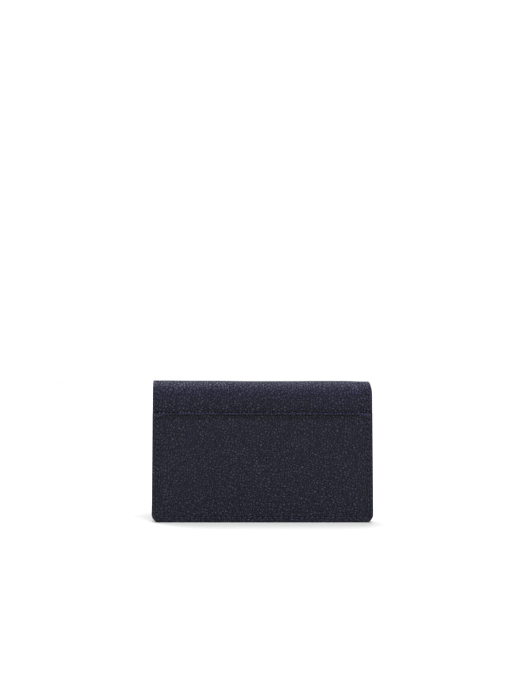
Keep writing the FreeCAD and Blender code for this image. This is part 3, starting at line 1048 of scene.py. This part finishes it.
def make_gusset():
    """One strip down a side, across the bottom and up the other, with flanges, drawn in along its middle."""
    section = gusset_section(low("gusset_strip").y, high("gusset_strip").y)
    path = Outline(0.0, GUSSET_TOP, half_width).seam(0.0, GUSSET_TOP)
    path_reached = reached_along(path)
    reached = np.linspace(0, path_reached[-1], GUSSET_ROWS)
    outer = np.stack([np.interp(reached, path_reached, path[:, k]) for k in range(2)], axis=1)
    height = outer[:, 1]
    inner_half = half_width(height) - GUSSET_FLANGE
    inner_x = np.clip(outer[:, 0], -inner_half, inner_half)
    inner = np.stack([inner_x, np.maximum(height, GUSSET_FLANGE)], axis=1)

    # The middle is drawn in from just above the bottom, and a little more all the way up
    lower_fold = smooth((height - 3 * MM) / (14 * MM))
    upper_fold = smooth((height - 6 * MM) / (GUSSET_TOP - 6 * MM))
    drawn_in = lower_fold + 0.35 * upper_fold
    depth = section[None, :, 0] + drawn_in[:, None] * section[None, :, 2]
    share = (depth / GUSSET_FLANGE)[:, :, None]
    flat = outer[:, None, :] + (inner - outer)[:, None, :] * share
    y = np.broadcast_to(section[None, :, 1], depth.shape)
    points = np.stack([flat[:, :, 0], y, flat[:, :, 1]], axis=-1)
    numbers = np.arange(depth.size).reshape(depth.shape)
    skin = np.stack([
        np.broadcast_to(reached[:, None], depth.shape),
        np.broadcast_to(reached_along(section[:, :2])[None, :], depth.shape),
        0 * depth,
    ], axis=-1)
    piece = new_object("gusset", points, capped_loft(numbers), [GUSSET_LEATHER], None,
                       [("skin", "FLOAT_VECTOR", skin), ("tone", "FLOAT", 0 * depth)])
    dress(piece, "gusset_leather", "root", "gusset_strip")


# ---------------------------------------------------------------- snap fastener

SNAP_HEIGHT = (low("snap_cap").z + high("snap_cap").z) / 2
POST_RADIUS = 1.4 * MM
CAP_RIM = 0.32 * MM
CAP_BEAD = 0.24 * MM


def make_snap_cap():
    """The domed cap on the flap, with a bead round its rim and its post behind it."""
    box_low, box_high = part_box("snap_cap")
    radius = box_high.x
    top = box_high.y - FLAP_FACE
    post_end = box_low.y - FLAP_FACE
    profile = [(radius * 0.965 * f, top - (top - CAP_RIM) * f ** 2.3) for f in np.linspace(0, 0.9, 12)]
    profile += [(radius * 0.885, CAP_RIM + 0.09 * MM), (radius * 0.90, CAP_RIM + 0.03 * MM)]
    profile += arc(radius - CAP_BEAD, CAP_RIM - 0.05 * MM, CAP_BEAD, 110, 0)
    profile += [(radius, 0.06 * MM), (radius - 0.08 * MM, 0)]
    profile += [(POST_RADIUS, 0), (POST_RADIUS, post_end), (0, post_end)]
    dress(turned("snap_cap_dome", profile, (0, FLAP_FACE, SNAP_HEIGHT), 1, NICKEL),
          "snap_metal", "flap", "snap_cap")


def make_snap_socket():
    """The hollow ring on the flap's lining that the stud goes into."""
    box_low, box_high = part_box("snap_socket")
    depth = box_high.y - box_low.y
    radius = box_high.x
    wall, lip, shoulder = 0.3 * MM, 0.15 * MM, 0.45 * MM
    rivet_hole, bore, cavity = 1.45 * MM, 2.75 * MM, radius - 0.7 * MM
    dished = depth - 0.1 * MM
    profile = [(rivet_hole, 0), (rivet_hole, wall), (cavity, wall), (cavity, depth - wall)]
    profile += [(bore + lip, depth - wall)]
    profile += arc(bore + lip, depth - lip, lip, 270, 90, 7)
    profile += [(bore + 0.7 * MM, depth), (bore + 0.95 * MM, dished), (radius - 0.9 * MM, dished)]
    profile += arc(radius - shoulder, depth - shoulder, shoulder, 100, 0, 7)
    profile += [(radius, 0)]
    dress(turned("snap_socket_ring", profile, (0, box_high.y, SNAP_HEIGHT), -1, NICKEL, ring=True),
          "snap_metal", "flap", "snap_socket")


def make_snap_stud():
    """The stud on the front: a flange, a narrower neck and a rounded head."""
    box_low, box_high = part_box("snap_stud")
    top = box_high.y - box_low.y
    flange, neck, head, hollow = box_high.x, 1.9 * MM, 2.35 * MM, 1.25 * MM
    under_head = top - 0.3 * MM
    profile = [(0, under_head), (hollow, under_head), (hollow, 0), (flange, 0)]
    profile += arc(flange - 0.15 * MM, 0.15 * MM, 0.15 * MM, 0, 90)
    profile += [(neck + 0.25 * MM, 0.33 * MM)]
    profile += arc(neck + 0.2 * MM, 0.55 * MM, 0.2 * MM, 240, 180, 4)
    profile += [(neck, 0.8 * MM)]
    profile += arc(head - 0.25 * MM, under_head, 0.25 * MM, -40, 90, 8)
    profile += [(0.95 * MM, top), (0.8 * MM, top - 0.1 * MM), (0, top - 0.12 * MM)]
    dress(turned("snap_stud_post", profile, (0, box_low.y, SNAP_HEIGHT), 1, NICKEL),
          "snap_metal", "root", "snap_stud")


def finish_snap_inside():
    """Gives the snap's hidden CAD pieces, whose shapes are right as they are, their materials."""
    for node, material in (("snap_spring", WIRE), ("snap_shank", NICKEL), ("front_snap_washer", BOARD),
                           ("flap_snap_washer", BOARD)):
        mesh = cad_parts[node].data
        mesh.materials.clear()
        mesh.materials.append(material)


make_slip_pocket()
make_back()
for zone_number in range(ZONES):
    make_fold_zone(zone_number)
make_flap()
make_front()
make_card_slot()
make_gusset()
make_snap_cap()
make_snap_socket()
make_snap_stud()
finish_snap_inside()

# ---------------------------------------------------------------- floor, light and camera


HORIZON = 0.3
CEILING = 0.2
FLOOR_TONE = 0.55
FLOOR_REACH = 3.0
SUN_SPREAD = math.radians(40)
CAMERA_DISTANCE = 0.75
CAMERA_RISE = 0.0498
LENS = 79.0


def make_floor():
    mesh = bpy.data.meshes.new("floor")
    corners = [(FLOOR_REACH * x, FLOOR_REACH * y, 0) for x, y in ((-1, -1), (1, -1), (1, 1), (-1, 1))]
    mesh.from_pydata(corners, [], [(0, 1, 2, 3)])
    floor = bpy.data.objects.new("floor", mesh)
    bpy.context.scene.collection.objects.link(floor)
    n = new_material("pale_floor")
    tone = rgb(FLOOR_TONE, FLOOR_TONE, FLOOR_TONE)
    mesh.materials.append(n.finish(Base_Color=tone, Roughness=0.95, Specular_IOR_Level=0.1))


def soft_sun(name, azimuth, elevation, strength):
    """A broad, soft light from far away. Azimuth 0 shines along +Y, as the camera looks."""
    data = bpy.data.lights.new(name, "SUN")
    data.energy = strength
    data.angle = SUN_SPREAD
    made = bpy.data.objects.new(name, data)
    made.rotation_euler = (math.radians(90 - elevation), 0, math.radians(azimuth))
    bpy.context.scene.collection.objects.link(made)


def make_light():
    """A white backdrop, a dimmer room that lights the holder, and soft suns from its near and far sides."""
    world = bpy.data.worlds.new("studio")
    bpy.context.scene.world = world
    n = Nodes(world, "Background")
    direction = n.add("ShaderNodeTexCoord").outputs["Generated"]
    upward = n.add("ShaderNodeSeparateXYZ", {"Vector": direction}).outputs["Z"]
    room = n.remap(upward, 0.1, 0.6, HORIZON, CEILING)
    backdrop = n.add("ShaderNodeLightPath").outputs["Is Camera Ray"]
    n.finish(Color=rgb(1.0, 1.0, 1.0), Strength=n.maths("MAXIMUM", room, backdrop))
    soft_sun("near_sun", 28, 52, 4.6)
    soft_sun("far_sun", 200, 60, 4.2)
    bpy.context.scene.view_settings.view_transform = "Standard"


def make_camera():
    """A level camera that sees the whole holder below the middle of a tall frame."""
    data = bpy.data.cameras.new("camera")
    camera = bpy.data.objects.new("camera", data)
    bpy.context.scene.collection.objects.link(camera)
    data.lens = LENS
    centre = (cad_low + cad_high) / 2
    camera.location = (centre.x, cad_low.y - CAMERA_DISTANCE, centre.z + CAMERA_RISE)
    camera.rotation_euler = (math.pi / 2, 0, 0)
    data.clip_start, data.clip_end = 0.01, 20.0
    bpy.context.scene.camera = camera


make_floor()
make_light()
make_camera()
